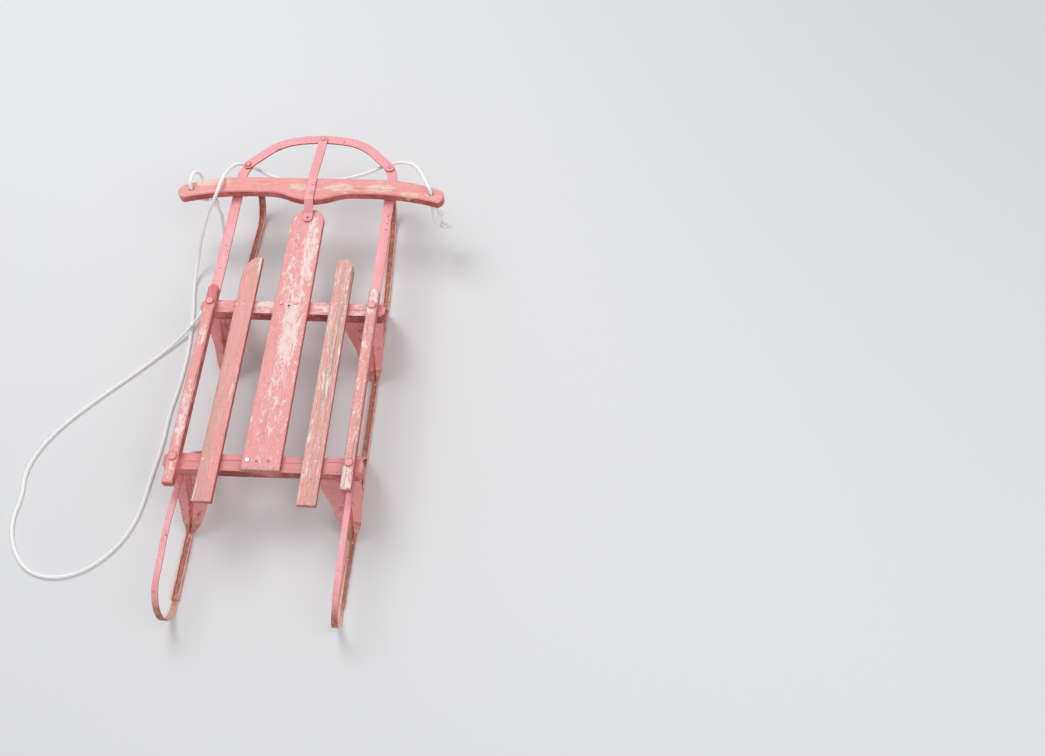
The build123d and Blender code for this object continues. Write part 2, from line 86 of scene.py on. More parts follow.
# Tow rope route, the same points as in the part's source, in millimetres
ROPE_DIAMETER = 6.5
STRANDS = 4
STRAND_TURNS = 160
ROPE_ROUTE = (
    (255, 315, 69), (244.5, 312.5, 72), (237, 312.5, 81), (233.5, 314.5, 97), (233.5, 319.5, 115),
    (233, 323.5, 134), (233, 323.5, 150), (232.5, 325, 161), (228.5, 330.5, 166), (220.5, 348.5, 163),
    (209, 376.5, 152), (195, 405, 137), (177, 427.5, 122), (156, 437, 113.5), (128, 431.5, 110),
    (90, 410, 107), (39, 394.5, 105), (-30, 386, 104), (-92, 396, 105), (-127, 413, 108.5),
    (-153.5, 424.5, 111.5), (-171, 423, 114.5), (-179, 407, 121.5), (-175.5, 376, 144), (-172.5, 348.5, 162),
    (-174.5, 328.5, 163.5), (-178.5, 311.5, 158.5), (-190, 301, 141), (-207, 294, 111), (-219.5, 278.5, 83),
    (-228.2, 267.7, 63.6), (-237, 254, 35), (-244, 227, 12), (-245, 193, 3.4), (-235, 148, 3.3),
    (-229, 98, 3.3), (-224, 40, 3.3), (-225, -25, 3.3), (-232, -93, 3.3), (-230, -150, 3.3),
    (-236, -215, 3.3), (-240, -285, 3.3), (-257, -341, 3.3), (-297, -390, 3.3), (-351, -416, 3.3),
    (-411, -408, 3.3), (-451, -363, 3.3), (-467, -311, 3.3), (-461, -268, 3.3), (-470, -218, 3.3),
    (-456, -169, 3.3), (-427, -121, 3.3), (-379, -67, 3.3), (-322, -10, 3.3), (-272, 43, 3.6),
    (-246, 73, 8), (-228, 99, 12), (-217, 129, 7), (-210, 168, 3.5), (-205, 214, 3.4),
    (-202, 254, 3.8), (-197, 281, 15), (-191.5, 295, 41), (-189, 305, 71), (-187.7, 310.2, 86.6),
    (-190.5, 317, 103), (-195, 323, 117), (-200, 331, 126), (-211, 345, 128.5), (-221, 361, 129.5),
    (-226, 369.5, 138), (-229, 367.5, 152), (-231, 358, 162), (-232.2, 344, 166), (-232.8, 330, 165.5),
    (-233, 324, 156.5), (-233, 323.5, 144), (-232.5, 323.5, 132.5), (-228.5, 323, 127), (-218, 322, 125.5),
    (-207, 322.5, 121),
)


# Mesh helpers
def clear_selection():
    if bpy.context.object and bpy.context.object.mode != "OBJECT":
        bpy.ops.object.mode_set(mode="OBJECT")
    bpy.ops.object.select_all(action="DESELECT")


def choose(*pieces):
    """Selects the pieces alone; the first is the active one."""
    clear_selection()
    for piece in pieces:
        piece.select_set(True)
    bpy.context.view_layer.objects.active = pieces[0]


def start_from(kind, name, place, turn=ORIGIN, **sizes):
    clear_selection()
    getattr(bpy.ops.mesh, "primitive_" + kind + "_add")(location=place, rotation=turn, **sizes)
    piece = bpy.context.object
    piece.name = name
    piece.data.name = name
    bpy.ops.object.transform_apply(location=True, rotation=True, scale=True)
    return piece


def edit(piece):
    """Opens a piece for editing with its whole mesh picked."""
    choose(piece)
    bpy.ops.object.mode_set(mode="EDIT")
    bpy.ops.mesh.select_all(action="SELECT")


def pick(piece, test, kind="FACE"):
    """Opens a piece with only what passes the test picked: faces by middle and normal, edges and points by place."""
    edit(piece)
    bpy.ops.mesh.select_mode(type=kind)
    bpy.ops.mesh.select_all(action="DESELECT")
    bpy.ops.object.mode_set(mode="OBJECT")
    data = piece.data
    if kind == "VERT":
        for v in data.vertices:
            v.select = test(v.co)
    elif kind == "EDGE":
        for e in data.edges:
            a, b = (data.vertices[i].co for i in e.vertices)
            e.select = test(a, b)
    else:
        for f in data.polygons:
            f.select = test(f.center, f.normal)
    bpy.ops.object.mode_set(mode="EDIT")


def extrude(step):
    bpy.ops.mesh.extrude_region_move(TRANSFORM_OT_translate={"value": step})


def shift(step):
    bpy.ops.transform.translate(value=step)


def widen(value, middle):
    bpy.ops.transform.resize(value=value, center_override=middle)


def draw_out(at, stops):
    """Extrudes what is picked along Y, from at to each stop in turn."""
    for y in stops:
        extrude((0, y - at, 0))
        at = y


def leave():
    """Closes the mesh: points merged, faces outwards."""
    bpy.ops.mesh.select_all(action="SELECT")
    bpy.ops.mesh.remove_doubles(threshold=1e-6)
    bpy.ops.mesh.normals_make_consistent(inside=False)
    bpy.ops.object.mode_set(mode="OBJECT")


def apply_all(piece):
    choose(piece)
    for modifier in list(piece.modifiers):
        bpy.ops.object.modifier_apply(modifier=modifier.name)


def soften(piece, width, segments=2):
    bevel = piece.modifiers.new("soft_edges", "BEVEL")
    bevel.width = width
    bevel.segments = segments
    bevel.limit_method = "ANGLE"
    bevel.angle_limit = math.radians(35)
    apply_all(piece)
    bpy.ops.object.shade_smooth_by_angle(angle=math.radians(50))


def copy_of(piece, name, step=ORIGIN, mirror=False):
    twin = add_object(name, piece.data.copy())
    twin.data.name = name
    twin.data.transform(Matrix.Translation(step))
    if mirror:
        twin.data.transform(Matrix.Scale(-1, 4, (1, 0, 0)))
        twin.data.flip_normals()
    return twin


def lean(piece, amount):
    """Pushes each ring of a piece sideways by amount(place), in metres."""
    steps = sorted({round(amount(v.co), 5) for v in piece.data.vertices} - {0.0})
    for step in steps:
        pick(piece, lambda p: round(amount(p), 5) == step, "VERT")
        shift((step, 0, 0))
    edit(piece)
    leave()


def between(rows, value):
    """Straight-line reading of rows of (place, amount)."""
    value = min(max(value, rows[0][0]), rows[-1][0])
    for (a, x), (b, y) in zip(rows, rows[1:]):
        if value <= b:
            return x + (y - x) * (value - a) / (b - a)


# Sizes read from the CAD nodes
BENCH_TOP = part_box("front_bench")[1].z
DECK_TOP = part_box("centre_board")[1].z
RAIL_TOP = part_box("right_rail")[1].z
STRIP_WIDE = 0.013
RUNNER_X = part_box("right_runner")[0].x + STRIP_WIDE / 2
RAIL_X = (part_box("right_rail")[0].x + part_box("right_rail")[1].x) / 2
# Where the fronts flex and how far they toe in, the tongue bolt's place, and the turn that stands a plane upright
FLEX_Y = 0.18
TOE_IN = math.radians(2.3)
TONGUE_Y = 0.271
UPRIGHT = (math.pi / 2, 0, 0)


# Material helpers
def srgb(r, g, b):
    def straight(v):
        v /= 255
        return v / 12.92 if v <= 0.04045 else ((v + 0.055) / 1.055) ** 2.4
    return (straight(r), straight(g), straight(b), 1.0)


# Paints, bare materials and marks
PINK_WOOD = srgb(239, 164, 162)
PINK_STEEL = srgb(244, 168, 175)
TAN_STEEL = srgb(224, 178, 162)
# Side colour: paint less faded than the tops, and painted shade on faces that turn down or sideways
SHADED_SIDE_RED = srgb(180, 70, 68)
STRONG_PINK = srgb(235, 146, 145)
PALE_WORN = srgb(244, 230, 224)
TAN_WORN = srgb(238, 212, 194)
BARE_WOOD = srgb(206, 182, 162)
GREY_WOOD = srgb(158, 138, 124)
TAN_GRAIN = srgb(196, 166, 146)
DARK_LINE = srgb(112, 66, 58)
GRAIN_RED = srgb(216, 128, 122)
CHALK_THREAD = srgb(250, 214, 208)
DUST_RED = srgb(190, 120, 114)
BLUSH_STEEL = srgb(228, 138, 138)
CHALK_STEEL = srgb(252, 210, 208)
CHIP_DARK = srgb(104, 68, 64)
# Dark blotches on steel: partly grime, partly painted shade
GRIME_AND_SHADE_RED = srgb(150, 74, 70)
RUST_DARK = srgb(156, 100, 80)
RUST_PALE = srgb(212, 156, 130)
RUST_GRIT = srgb(116, 74, 62)
ZINC_PALE = srgb(222, 224, 228)
ZINC_DULL = srgb(168, 170, 176)
CORD_WHITE = srgb(255, 255, 255)
CORD_SHADE = srgb(228, 230, 232)
CORD_DIRT = srgb(222, 218, 210)
# Bench side colour: painted shade on the bench faces that turn down or sideways
BENCH_SIDE_SHADE = srgb(142, 50, 49)
BENCH_PINK = srgb(222, 146, 147)
RAIL_TIP = srgb(204, 88, 88)
CRACK = srgb(120, 66, 60)
BOARD_HOLE_SHADE = srgb(40, 26, 26)
BOLT_SHADE = srgb(132, 66, 60)
RIVET_SHADE = srgb(126, 66, 60)
RIVET_HOLE_SHADE = srgb(40, 28, 28)
SCUFF = srgb(74, 46, 46)
# Knee tones: a lighter colour for painted light where the sheet faces back and up, and a painted shade colour for its
# side faces
KNEE_LIT_PINK = srgb(246, 176, 172)
KNEE_SIDE_SHADE = srgb(222, 128, 124)
HEAD_PINK = srgb(243, 164, 164)
NAIL_PINK = srgb(246, 190, 186)
NAIL_RUST = srgb(206, 140, 128)
FLOOR_PALE = srgb(226, 227, 229)
WHITE = (1, 1, 1, 1)


def feed(tree, made, inputs):
    """Links or sets each of a node's inputs."""
    for key, value in inputs.items():
        if isinstance(value, bpy.types.NodeSocket):
            tree.links.new(value, made.inputs[key])
        else:
            made.inputs[key].default_value = value


def node(tree, kind, inputs, **settings):
    made = tree.nodes.new("ShaderNode" + kind)
    for key, value in settings.items():
        setattr(made, key, value)
    feed(tree, made, inputs)
    return made


def calc(tree, operation, a, b=0.0, clamp=False):
    return node(tree, "Math", {0: a, 1: b}, operation=operation, use_clamp=clamp).outputs[0]


def times(tree, a, b):
    return calc(tree, "MULTIPLY", a, b)


def plus(tree, a, b):
    return calc(tree, "ADD", a, b)


def minus(tree, a, b):
    return calc(tree, "SUBTRACT", a, b)


def vector(tree, operation, a, b=ORIGIN):
    return node(tree, "VectorMath", {0: a, 1: b}, operation=operation).outputs[0]


def stretch(tree, place, scale):
    return vector(tree, "MULTIPLY", place, scale)


def how_far(tree, place):
    return node(tree, "VectorMath", {0: place}, operation="LENGTH").outputs["Value"]


def xyz(tree, place):
    return node(tree, "SeparateXYZ", {0: place}).outputs


def noise(tree, place, detail=3.0, roughness=0.6, distortion=0.0, scale=1.0):
    made = node(tree, "TexNoise", {"Vector": place, "Scale": scale, "Detail": detail,
                                   "Roughness": roughness, "Distortion": distortion})
    return made.outputs["Fac"]


def ramp(tree, value, low, high, to_low=0.0, to_high=1.0):
    inputs = {"Value": value, "From Min": low, "From Max": high, "To Min": to_low, "To Max": to_high}
    return node(tree, "MapRange", inputs, interpolation_type="SMOOTHSTEP").outputs[0]


def mix(tree, share, a, b, blend="MIX"):
    made = node(tree, "Mix", {0: share, 6: a, 7: b}, data_type="RGBA", blend_type=blend)
    return made.outputs[2]


def effect(name, inputs, *outputs):
    """A node group that takes a place and other inputs. Color comes out as a colour, all else as a number."""
    tree = bpy.data.node_groups.new(name, "ShaderNodeTree")
    for label, value in {"Vector": ORIGIN, **inputs}.items():
        kind = "NodeSocketFloat" if isinstance(value, float) else "NodeSocketVector"
        tree.interface.new_socket(label, in_out="INPUT", socket_type=kind).default_value = value
    for label in outputs:
        kind = "NodeSocketColor" if label == "Color" else "NodeSocketFloat"
        tree.interface.new_socket(label, in_out="OUTPUT", socket_type=kind)
    inside = tree.nodes.new("NodeGroupInput").outputs
    outside = tree.nodes.new("NodeGroupOutput").inputs

    def put(label, socket):
        tree.links.new(socket, outside[label])
    return tree, inside["Vector"], inside, put


def use(tree, group, place, **inputs):
    return node(tree, "Group", {"Vector": place, **inputs}, node_tree=group).outputs


# Effect: wood fibres along X, with fine open lines
def make_fibres():
    tree, place, _, put = effect("wood_fibres", {}, "Streak", "Thread", "Ribbon", "Line", "Height")

    def strands(along, across, *grain):
        return noise(tree, stretch(tree, place, (along, across, across)), *grain)
    streak = strands(16, 330, 4.0, 0.65, 0.3)
    bands = strands(5, 95, 2.0, 0.5, 0.5)
    line = ramp(tree, strands(7, 240, 2.0, 0.5), 0.325, 0.36, 1.0, 0.0)
    both = plus(tree, times(tree, streak, 0.55), times(tree, bands, 0.45))
    put("Streak", both)
    put("Thread", strands(34, 680, 3.0, 0.62, 0.2))
    put("Ribbon", strands(4, 150, 4.0, 0.62, 0.4))
    put("Line", line)
    put("Height", minus(tree, both, times(tree, line, 0.6)))
    return tree


# Effect: ragged patches, longer along X, more of them as Amount rises
def make_patches():
    tree, place, inside, put = effect("worn_patches", {"Amount": 0.2, "Streak": 0.5, "Size": 1.0}, "Mask")
    sized = stretch(tree, place, inside["Size"])
    broad = noise(tree, stretch(tree, sized, (40, 98, 98)), 8.0, 0.7, 0.3)
    rough = times(tree, minus(tree, inside["Streak"], 0.5), 0.3)
    level = plus(tree, plus(tree, broad, rough), times(tree, inside["Amount"], 0.4))
    put("Mask", ramp(tree, level, 0.655, 0.695))
    return tree


# Effect: small specks and pits
def make_specks():
    tree, place, inside, put = effect("specks", {"Scale": 160.0, "Amount": 0.2}, "Mask")
    dots = noise(tree, place, 2.0, 0.55, scale=inside["Scale"])
    level = plus(tree, dots, times(tree, inside["Amount"], 0.4))
    put("Mask", ramp(tree, level, 0.7, 0.74))
    return tree


# Effect: 1 along the twelve edges of a block given by its middle and half sizes
def make_edges():
    tree, place, inside, put = effect("block_edges", {"Middle": ORIGIN, "Half": (1, 1, 1), "Width": 0.002}, "Mask")
    away = vector(tree, "ABSOLUTE", vector(tree, "SUBTRACT", place, inside["Middle"]))
    x, y, z = xyz(tree, vector(tree, "SUBTRACT", inside["Half"], away))
    low = calc(tree, "MINIMUM", x, y)
    high = calc(tree, "MAXIMUM", x, y)
    second = calc(tree, "MAXIMUM", low, calc(tree, "MINIMUM", high, z))
    put("Mask", calc(tree, "SUBTRACT", 1.0, calc(tree, "DIVIDE", second, inside["Width"]), clamp=True))
    return tree


# Effect: 1 at a place, falling to 0 at its reach
def make_near():
    tree, place, inside, put = effect("near_place", {"Place": ORIGIN, "Reach": (1, 1, 1)}, "Mask")
    away = vector(tree, "SUBTRACT", place, inside["Place"])
    far = how_far(tree, vector(tree, "DIVIDE", away, inside["Reach"]))
    put("Mask", ramp(tree, far, 0.35, 1.0, 1.0, 0.0))
    return tree


# Effect: rust that gathers in blotches
def make_rust():
    tree, place, inside, put = effect("rust_bloom", {"Amount": 0.2, "Scale": 60.0}, "Mask", "Color", "Height")
    blotch = noise(tree, place, 6.0, 0.7, scale=inside["Scale"])
    level = plus(tree, blotch, times(tree, inside["Amount"], 0.45))
    grit = noise(tree, stretch(tree, place, (900, 900, 900)), 2.0, 0.6)
    tone = mix(tree, ramp(tree, blotch, 0.4, 0.62), RUST_DARK, RUST_PALE)
    tone = mix(tree, times(tree, grit, 0.35), tone, RUST_GRIT)
    put("Mask", ramp(tree, level, 0.6, 0.7))
    put("Color", tone)
    put("Height", grit)
    return tree


# Effect: Mask is 1 on the low floor of either runner's groove, Rim is ragged on its walls
def make_groove():
    tree, place, _, put = effect("groove_floor", {}, "Mask", "Rim")
    x, y, z = xyz(tree, place)
    ahead = calc(tree, "MAXIMUM", minus(tree, y, FLEX_Y), 0.0)
    middle = minus(tree, RUNNER_X, times(tree, ahead, math.tan(TOE_IN)))
    off = calc(tree, "ABSOLUTE", minus(tree, calc(tree, "ABSOLUTE", x), middle))
    narrow = ramp(tree, off, 0.0041, 0.005, 1.0, 0.0)
    low = ramp(tree, z, 0.06, 0.09, 1.0, 0.0)
    put("Mask", times(tree, narrow, low))
    wall = times(tree, ramp(tree, off, 0.0041, 0.005), ramp(tree, z, 0.008, 0.016, 1.0, 0.0))
    ragged = ramp(tree, noise(tree, place, 5.0, 0.7, scale=60.0), 0.36, 0.54)
    put("Rim", times(tree, wall, ragged))
    return tree


PAINT_DEEP = 0.0006
FIBRES = make_fibres()
GROOVE = make_groove()
PATCHES = make_patches()
SPECKS = make_specks()
EDGES = make_edges()
NEAR = make_near()
RUST = make_rust()


def surface(name):
    material = bpy.data.materials.new(name)
    material.use_nodes = True
    tree = material.node_tree
    tree.nodes.clear()
    shader = node(tree, "BsdfPrincipled", {})
    node(tree, "OutputMaterial", {"Surface": shader.outputs[0]})
    return material, tree, shader, node(tree, "TexCoord", {}).outputs["Object"]


def facing_up(tree):
    normal = node(tree, "NewGeometry", {}).outputs["Normal"]
    return ramp(tree, xyz(tree, normal)[2], 0.25, 0.85)


def bump(tree, height, strength, distance):
    return node(tree, "Bump", {"Height": height, "Strength": strength, "Distance": distance}).outputs[0]


def near(tree, place, spot, reach, gain):
    return times(tree, use(tree, NEAR, place, Place=spot, Reach=reach)[0], gain)


def marked(tree, place, color, marks):
    """Colours a spot for each mark: place, reach, strength and tone."""
    for spot, reach, gain, tone in marks:
        color = mix(tree, near(tree, place, spot, reach, gain), color, tone)
    return color


def gathered(tree, place, amount, spots):
    """Raises an amount near each spot: place, reach and strength."""
    for spot, reach, gain in spots:
        amount = plus(tree, amount, near(tree, place, spot, reach, gain))
    return amount


def painted_wood(name, along, middle, half, worn=0.2, bare=0.1, grey=0.0, deep=0.0, tone=PINK_WOOD, flake=PALE_WORN,
                 side=SHADED_SIDE_RED, cracks=0.5, long=1.0, places=(), bare_places=(), marks=(), seed=0.0):
    """Old red paint on wood. along is the axis that the grain runs on, middle and half give the block for its rubbed
    edges, and long under 1 draws the marks out along the grain."""
    material, tree, shader, place = surface(name)
    turn = ORIGIN if along == "X" else (0, 0, math.radians(-90))
    corner = (seed, seed * 0.7, seed * 1.3)
    grain = node(tree, "Mapping", {"Vector": place, "Location": corner, "Rotation": turn}).outputs[0]
    grain = stretch(tree, grain, (long, 1, 1))
    fibres = use(tree, FIBRES, grain)
    up = facing_up(tree)
    soft = noise(tree, place, 3.0, 0.6, scale=22.0)

    def patches(where, amount, size):
        return use(tree, PATCHES, where, Amount=amount, Streak=fibres["Streak"], Size=size)[0]
    amount = gathered(tree, place, times(tree, up, worn), places)
    pale = calc(tree, "MAXIMUM", patches(grain, amount, 1.0), times(tree, patches(grain, amount, 3.3), 0.8))

    rub = use(tree, EDGES, place, Middle=middle, Half=half, Width=0.0026)[0]
    amount = gathered(tree, place, plus(tree, times(tree, rub, 0.42), bare), bare_places)
    bared = patches(vector(tree, "ADD", grain, (3.1, 1.7, 5.3)), amount, 2.4)

    # Faces that turn from the sky take the side colour: painted shade, partly less faded paint
    paint = mix(tree, times(tree, up, 0.92), side, tone)
    paint = mix(tree, ramp(tree, soft, 0.35, 0.7, 0.0, 0.35 + deep), paint, STRONG_PINK)
    paint = mix(tree, ramp(tree, fibres["Streak"], 0.46, 0.3, 0.0, 0.4), paint, GRAIN_RED)
    threads = ("Thread", 0.54, 0.7, 0.42, CHALK_THREAD)
    ribbons = ("Ribbon", 0.46, 0.66, grey, TAN_GRAIN)
    for strand, low, high, most, shade in (threads, ribbons):
        paint = mix(tree, times(tree, up, ramp(tree, fibres[strand], low, high, 0.0, most)), paint, shade)
    wood = mix(tree, ramp(tree, fibres["Streak"], 0.36, 0.62), GREY_WOOD, BARE_WOOD)
    color = mix(tree, times(tree, pale, 0.85), paint, flake)
    color = mix(tree, times(tree, bared, 0.7), color, wood)
    color = mix(tree, times(tree, fibres["Line"], cracks), color, DARK_LINE)
    pits = use(tree, SPECKS, place, Scale=260.0, Amount=0.06)[0]
    color = mix(tree, times(tree, pits, 0.5), color, DARK_LINE)
    dust = noise(tree, place, 2.0, 0.7, scale=700.0)
    color = mix(tree, ramp(tree, dust, 0.52, 0.3, 0.0, 0.28), color, DUST_RED)
    color = marked(tree, place, color, marks)
    worn_mask = calc(tree, "MAXIMUM", pale, bared)
    height = minus(tree, fibres["Height"], times(tree, worn_mask, 0.35))
    height = minus(tree, height, times(tree, pits, 0.5))
    feed(tree, shader, {"Base Color": color, "Roughness": ramp(tree, worn_mask, 0.0, 1.0, 0.6, 0.86),
                        "Normal": bump(tree, height, 0.6, PAINT_DEEP)})
    return material


def painted_steel(name, rust=0.0, tone=PINK_STEEL, side=SHADED_SIDE_RED, deep=0.3, chips=0.03, groove=0.0, foot=0.0,
                  grime_and_shade=0.0, rust_places=(), marks=()):
    """Old red paint on sheet or strip steel. groove rusts the low floor of a runner, foot what is near the ground."""
    material, tree, shader, place = surface(name)
    up = facing_up(tree)
    soft = noise(tree, place, 4.0, 0.6, scale=30.0)
    # Faces that turn from the sky take the side colour: painted shade, partly less faded paint
    paint = mix(tree, times(tree, up, 0.9), side, tone)
    paint = mix(tree, ramp(tree, soft, 0.42, 0.72, 0.0, deep), paint, BLUSH_STEEL)
    chalk = noise(tree, place, 5.0, 0.7, scale=120.0)
    paint = mix(tree, ramp(tree, chalk, 0.52, 0.72, 0.0, 0.5), paint, CHALK_STEEL)
    amount = rust
    if groove:
        strip = use(tree, GROOVE, place)
        amount = plus(tree, times(tree, strip["Mask"], groove), amount)
        paint = mix(tree, times(tree, strip["Rim"], 0.8), paint, TAN_STEEL)
    if foot:
        amount = plus(tree, ramp(tree, xyz(tree, place)[2], 0.01, 0.046, foot, 0.0), amount)
    amount = gathered(tree, place, amount, rust_places)
    bloom = use(tree, RUST, place, Amount=amount, Scale=90.0)
    color = mix(tree, times(tree, bloom["Mask"], 0.92), paint, bloom["Color"])
    pits = use(tree, SPECKS, place, Scale=230.0, Amount=chips)[0]
    color = mix(tree, times(tree, pits, 0.7), color, CHIP_DARK)
    # Dark noise blotches: partly grime, partly painted shade
    if grime_and_shade:
        stain_and_shade = noise(tree, place, 5.0, 0.65, scale=45.0)
        color = mix(tree, ramp(tree, stain_and_shade, 0.56, 0.66, 0.0, grime_and_shade), color, GRIME_AND_SHADE_RED)
    color = marked(tree, place, color, marks)
    crust = times(tree, bloom["Mask"], times(tree, bloom["Height"], 0.5))
    height = minus(tree, plus(tree, times(tree, soft, 0.8), crust), times(tree, pits, 0.4))
    feed(tree, shader, {"Base Color": color, "Roughness": ramp(tree, bloom["Mask"], 0.0, 1.0, 0.45, 0.85),
                        "Normal": bump(tree, height, 0.35, PAINT_DEEP)})
    return material


def zinc_paint():
    material, tree, shader, place = surface("bright_nail")
    dull = noise(tree, place, 3.0, 0.6, scale=500.0)
    color = mix(tree, ramp(tree, dull, 0.4, 0.65), ZINC_PALE, ZINC_DULL)
    feed(tree, shader, {"Base Color": color, "Metallic": 0.7, "Roughness": 0.38})
    return material


def rope_material():
    material, tree, shader, place = surface("white_cord")
    around, along = xyz(tree, node(tree, "UVMap", {}, uv_map="along").outputs[0])[:2]
    around = times(tree, around, STRANDS)
    along = times(tree, along, STRAND_TURNS)
    fuzz = noise(tree, place, 3.0, 0.7, scale=900.0)
    dirt = noise(tree, place, 4.0, 0.6, scale=35.0)
    one = calc(tree, "SINE", times(tree, plus(tree, around, along), math.tau))
    two = calc(tree, "SINE", times(tree, minus(tree, around, along), math.tau))
    weave = calc(tree, "MAXIMUM", one, two)
    color = mix(tree, ramp(tree, weave, 0.5, -0.6, 0.0, 0.4), CORD_WHITE, CORD_SHADE)
    color = mix(tree, ramp(tree, dirt, 0.6, 0.8, 0.0, 0.25), color, CORD_DIRT)
    height = plus(tree, times(tree, weave, 0.6), times(tree, fuzz, 0.4))
    feed(tree, shader, {"Base Color": color, "Roughness": 0.85, "Sheen Weight": 0.25,
                        "Normal": bump(tree, height, 0.6, 0.0007)})
    return material


def wear(piece, material):
    piece.data.materials.clear()
    piece.data.materials.append(material)


def paint_node(name, material):
    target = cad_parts[name]
    if not target.material_slots:
        target.data.materials.append(material)
    for used in target.material_slots:
        used.material = material


def block(name):
    low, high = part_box(name)
    return tuple((low + high) / 2), tuple((high - low) / 2)


def wood_node(name, along, **values):
    middle, half = block(name)
    paint_node(name, painted_wood(name + "_paint", along, middle, half, **values))


# Rope
def smooth_line(route):
    curve = bpy.data.curves.new("rope_line", "CURVE")
    curve.dimensions = "3D"
    curve.resolution_u = 24
    spline = curve.splines.new("NURBS")
    spline.points.add(len(route) - 1)
    for point, (x, y, z) in zip(spline.points, route):
        point.co = (x * MM, y * MM, z * MM, 1.0)
    spline.order_u = 3
    spline.use_endpoint_u = True
    holder = add_object("rope_line", curve)
    bpy.context.view_layer.update()
    data = bpy.data.meshes.new_from_object(holder)
    points = [v.co.copy() for v in data.vertices]
    bpy.data.objects.remove(holder)
    bpy.data.meshes.remove(data)
    return points


def even_steps(points, step):
    kept = [points[0]]
    carry = 0.0
    for a, b in zip(points, points[1:]):
        run = (b - a).length
        at = step - carry
        while at < run:
            kept.append(a.lerp(b, at / run))
            at += step
        carry = (carry + run) % step
    if (kept[-1] - points[-1]).length > step * 0.3:
        kept.append(points[-1])
    return kept


def rope_tube(name, points, radius, sides=14):
    spots, faces, around = [], [], []
    aim = (points[1] - points[0]).normalized()
    side = aim.orthogonal().normalized()
    run = 0.0
    total = [0.0]
    for i, p in enumerate(points):
        before = points[max(i - 1, 0)]
        after = points[min(i + 1, len(points) - 1)]
        aim = (after - before).normalized()
        side = (side - aim * side.dot(aim)).normalized()
        third = aim.cross(side)
        if i:
            run += (p - points[i - 1]).length
            total.append(run)
        for k in range(sides):
            u = k / sides
            one, two = STRANDS * u, STRAND_TURNS * run
            lift = max(math.sin(math.tau * (one + two)), math.sin(math.tau * (one - two)))
            r = radius * (0.965 + 0.035 * lift)
            turn = math.tau * u
            spots.append(p + side * (r * math.cos(turn)) + third * (r * math.sin(turn)))
    for i in range(len(points) - 1):
        for k in range(sides):
            n = (k + 1) % sides
            faces.append((i * sides + k, i * sides + n, (i + 1) * sides + n, (i + 1) * sides + k))
            a, b, low, high = k / sides, (k + 1) / sides, total[i], total[i + 1]
            around.append(((a, low), (b, low), (b, high), (a, high)))
    last = (len(points) - 1) * sides
    for cap, at in ((range(sides - 1, -1, -1), 0.0), (range(last, last + sides), total[-1])):
        faces.append(tuple(cap))
        around.append(((0.5, at),) * sides)
    data = bpy.data.meshes.new(name)
    data.from_pydata(spots, [], faces)
    layer = data.uv_layers.new(name="along")
    layer.data.foreach_set("uv", [v for face in around for uv in face for v in uv])
    data.shade_smooth()
    return add_object(name, data)


# Knots: points of an overhand knot round its middle, in rope radii, and the cord that joins the knots at the right end
KNOT = (
    (-2.6, -0.6, 0.2), (-1.2, -1.5, 0.9), (0.6, -1.7, 0.7), (1.7, -0.5, -0.2), (1, 1, -1), (-0.6, 1.2, -0.9),
    (-1.4, 0.1, 0), (-0.6, -0.9, 1.1), (0.8, -0.4, 1.3), (1.5, 0.9, 0.6), (0.3, 1.9, 0.3), (-1, 1.6, 0.8),
    (-1.2, 2.7, 1),
)
RIGHT_END = (
    (238.5, 322, 127), (240.5, 321, 118), (244, 319.5, 108), (247.5, 318, 100), (248.5, 316.5, 91),
    (251, 315.5, 82), (256, 315.5, 75), (262, 317.5, 71), (267, 321, 66),
)


def knot_points(middle, size, turn, tip):
    """A knot round its middle, size times as large as its points say, turned and tipped."""
    spin = Matrix.Rotation(turn, 3, "Z") @ Matrix.Rotation(tip, 3, "X")
    return [Vector(middle) + spin @ Vector(p) * size for p in KNOT]


def cord_piece(name, routes, radius):
    parts = [rope_tube(name, even_steps(smooth_line(route), 0.0012), radius * MM, 12) for route in routes]
    choose(*parts)
    if len(parts) > 1:
        bpy.ops.object.join()
    wear(parts[0], CORD)
    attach(parts[0], "steering_lever")
    return parts[0]


CORD = rope_material()
right_knots = [knot_points(*row) for row in (((248, 317.5, 99), 3.3, 0.4, 1.2), ((253, 315.5, 72), 4.0, 2.2, 0.3),
                                             ((261, 318, 71.5), 3.9, -0.9, 1.9))]
right_end = cord_piece("rope_right_end", [RIGHT_END] + right_knots, 3.5)
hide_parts("rope_right_knots")
left_knot = cord_piece("rope_left_hitch", [knot_points((-195.5, 322, 116.5), 3.3, 0.8, 0.9)], 3.2)
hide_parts("rope_left_knot")

rope_points = even_steps(smooth_line(ROPE_ROUTE), 0.0016)
tow_rope = rope_tube("tow_rope", rope_points, ROPE_DIAMETER / 2 * MM)
wear(tow_rope, CORD)
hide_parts("rope_on_bar", "rope_on_ground", "rope_left_loop")
rope_length = sum((b - a).length for a, b in zip(rope_points, rope_points[1:]))
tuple(rope_points[0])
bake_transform(tow_rope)

# Wood
# The benches, with their bolts and knees, and their places along the sled
ENDS = (("front", 0.0725), ("rear", -0.2425))


def bolt_rings(side):
    reach = (0.0105, 0.0105, 0.004)
    return [((side * RAIL_X, y, RAIL_TOP), reach, 0.9, BOLT_SHADE) for _, y in ENDS]


def rubs(z, *rows):
    """Worn places at one height: x, y, half width, half length and strength of each."""
    return [((x, y, z), (wide, long, 0.02), gain) for x, y, wide, long, gain in rows]


